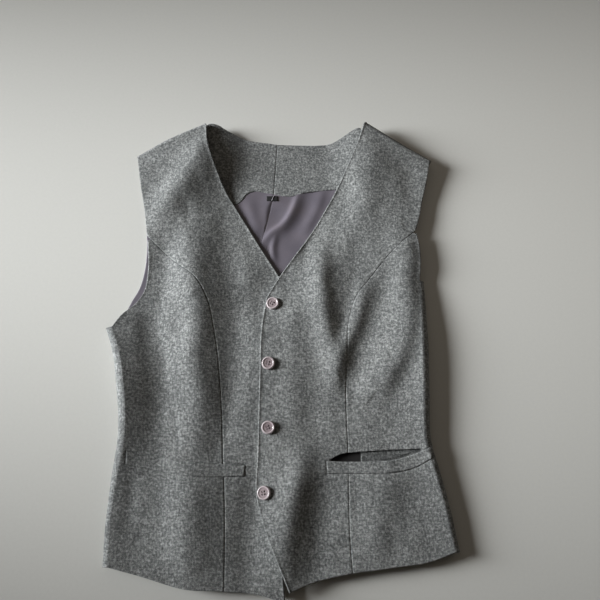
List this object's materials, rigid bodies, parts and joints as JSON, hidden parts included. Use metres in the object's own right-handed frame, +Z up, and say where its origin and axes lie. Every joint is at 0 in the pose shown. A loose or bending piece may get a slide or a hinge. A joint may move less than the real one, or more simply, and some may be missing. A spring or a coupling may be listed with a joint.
{
  "type": "suit waistcoat",
  "caption": "Woman's suit waistcoat in grey melange wool, buttoned and laid flat, with princess seams, welt pockets, a V neck and pointed fronts.",
  "frame": {"origin": "middle of the footprint, on the surface that the waistcoat lies on", "axes": "+X towards the wearer's left side, +Y towards the neck, +Z up off the surface"},
  "size_m": [0.3956, 0.5626, 0.0248],
  "materials": {
    "wool": "melange wool suiting, matt with a soft nap",
    "satin": "lining satin with a soft sheen",
    "button": "polished resin with a dull edge",
    "ribbon": "woven black ribbon"
  },
  "bodies": {
    "root": {"back_right": "wool", "back_left": "wool", "back_lining_right": "satin", "back_lining_left": "satin", "neck_facing_right": "wool", "neck_facing_left": "wool", "front_centre_right": "wool", "front_centre_left": "wool", "front_side_right": "wool", "front_side_left": "wool", "welt_right": "wool", "welt_left": "wool", "pocket_facing_left": "wool", "pocket_bag_left": "satin", "button_1": "button", "button_2": "button", "button_3": "button", "button_4": "button", "neck_tab": "ribbon"}
  },
  "joints": []
}
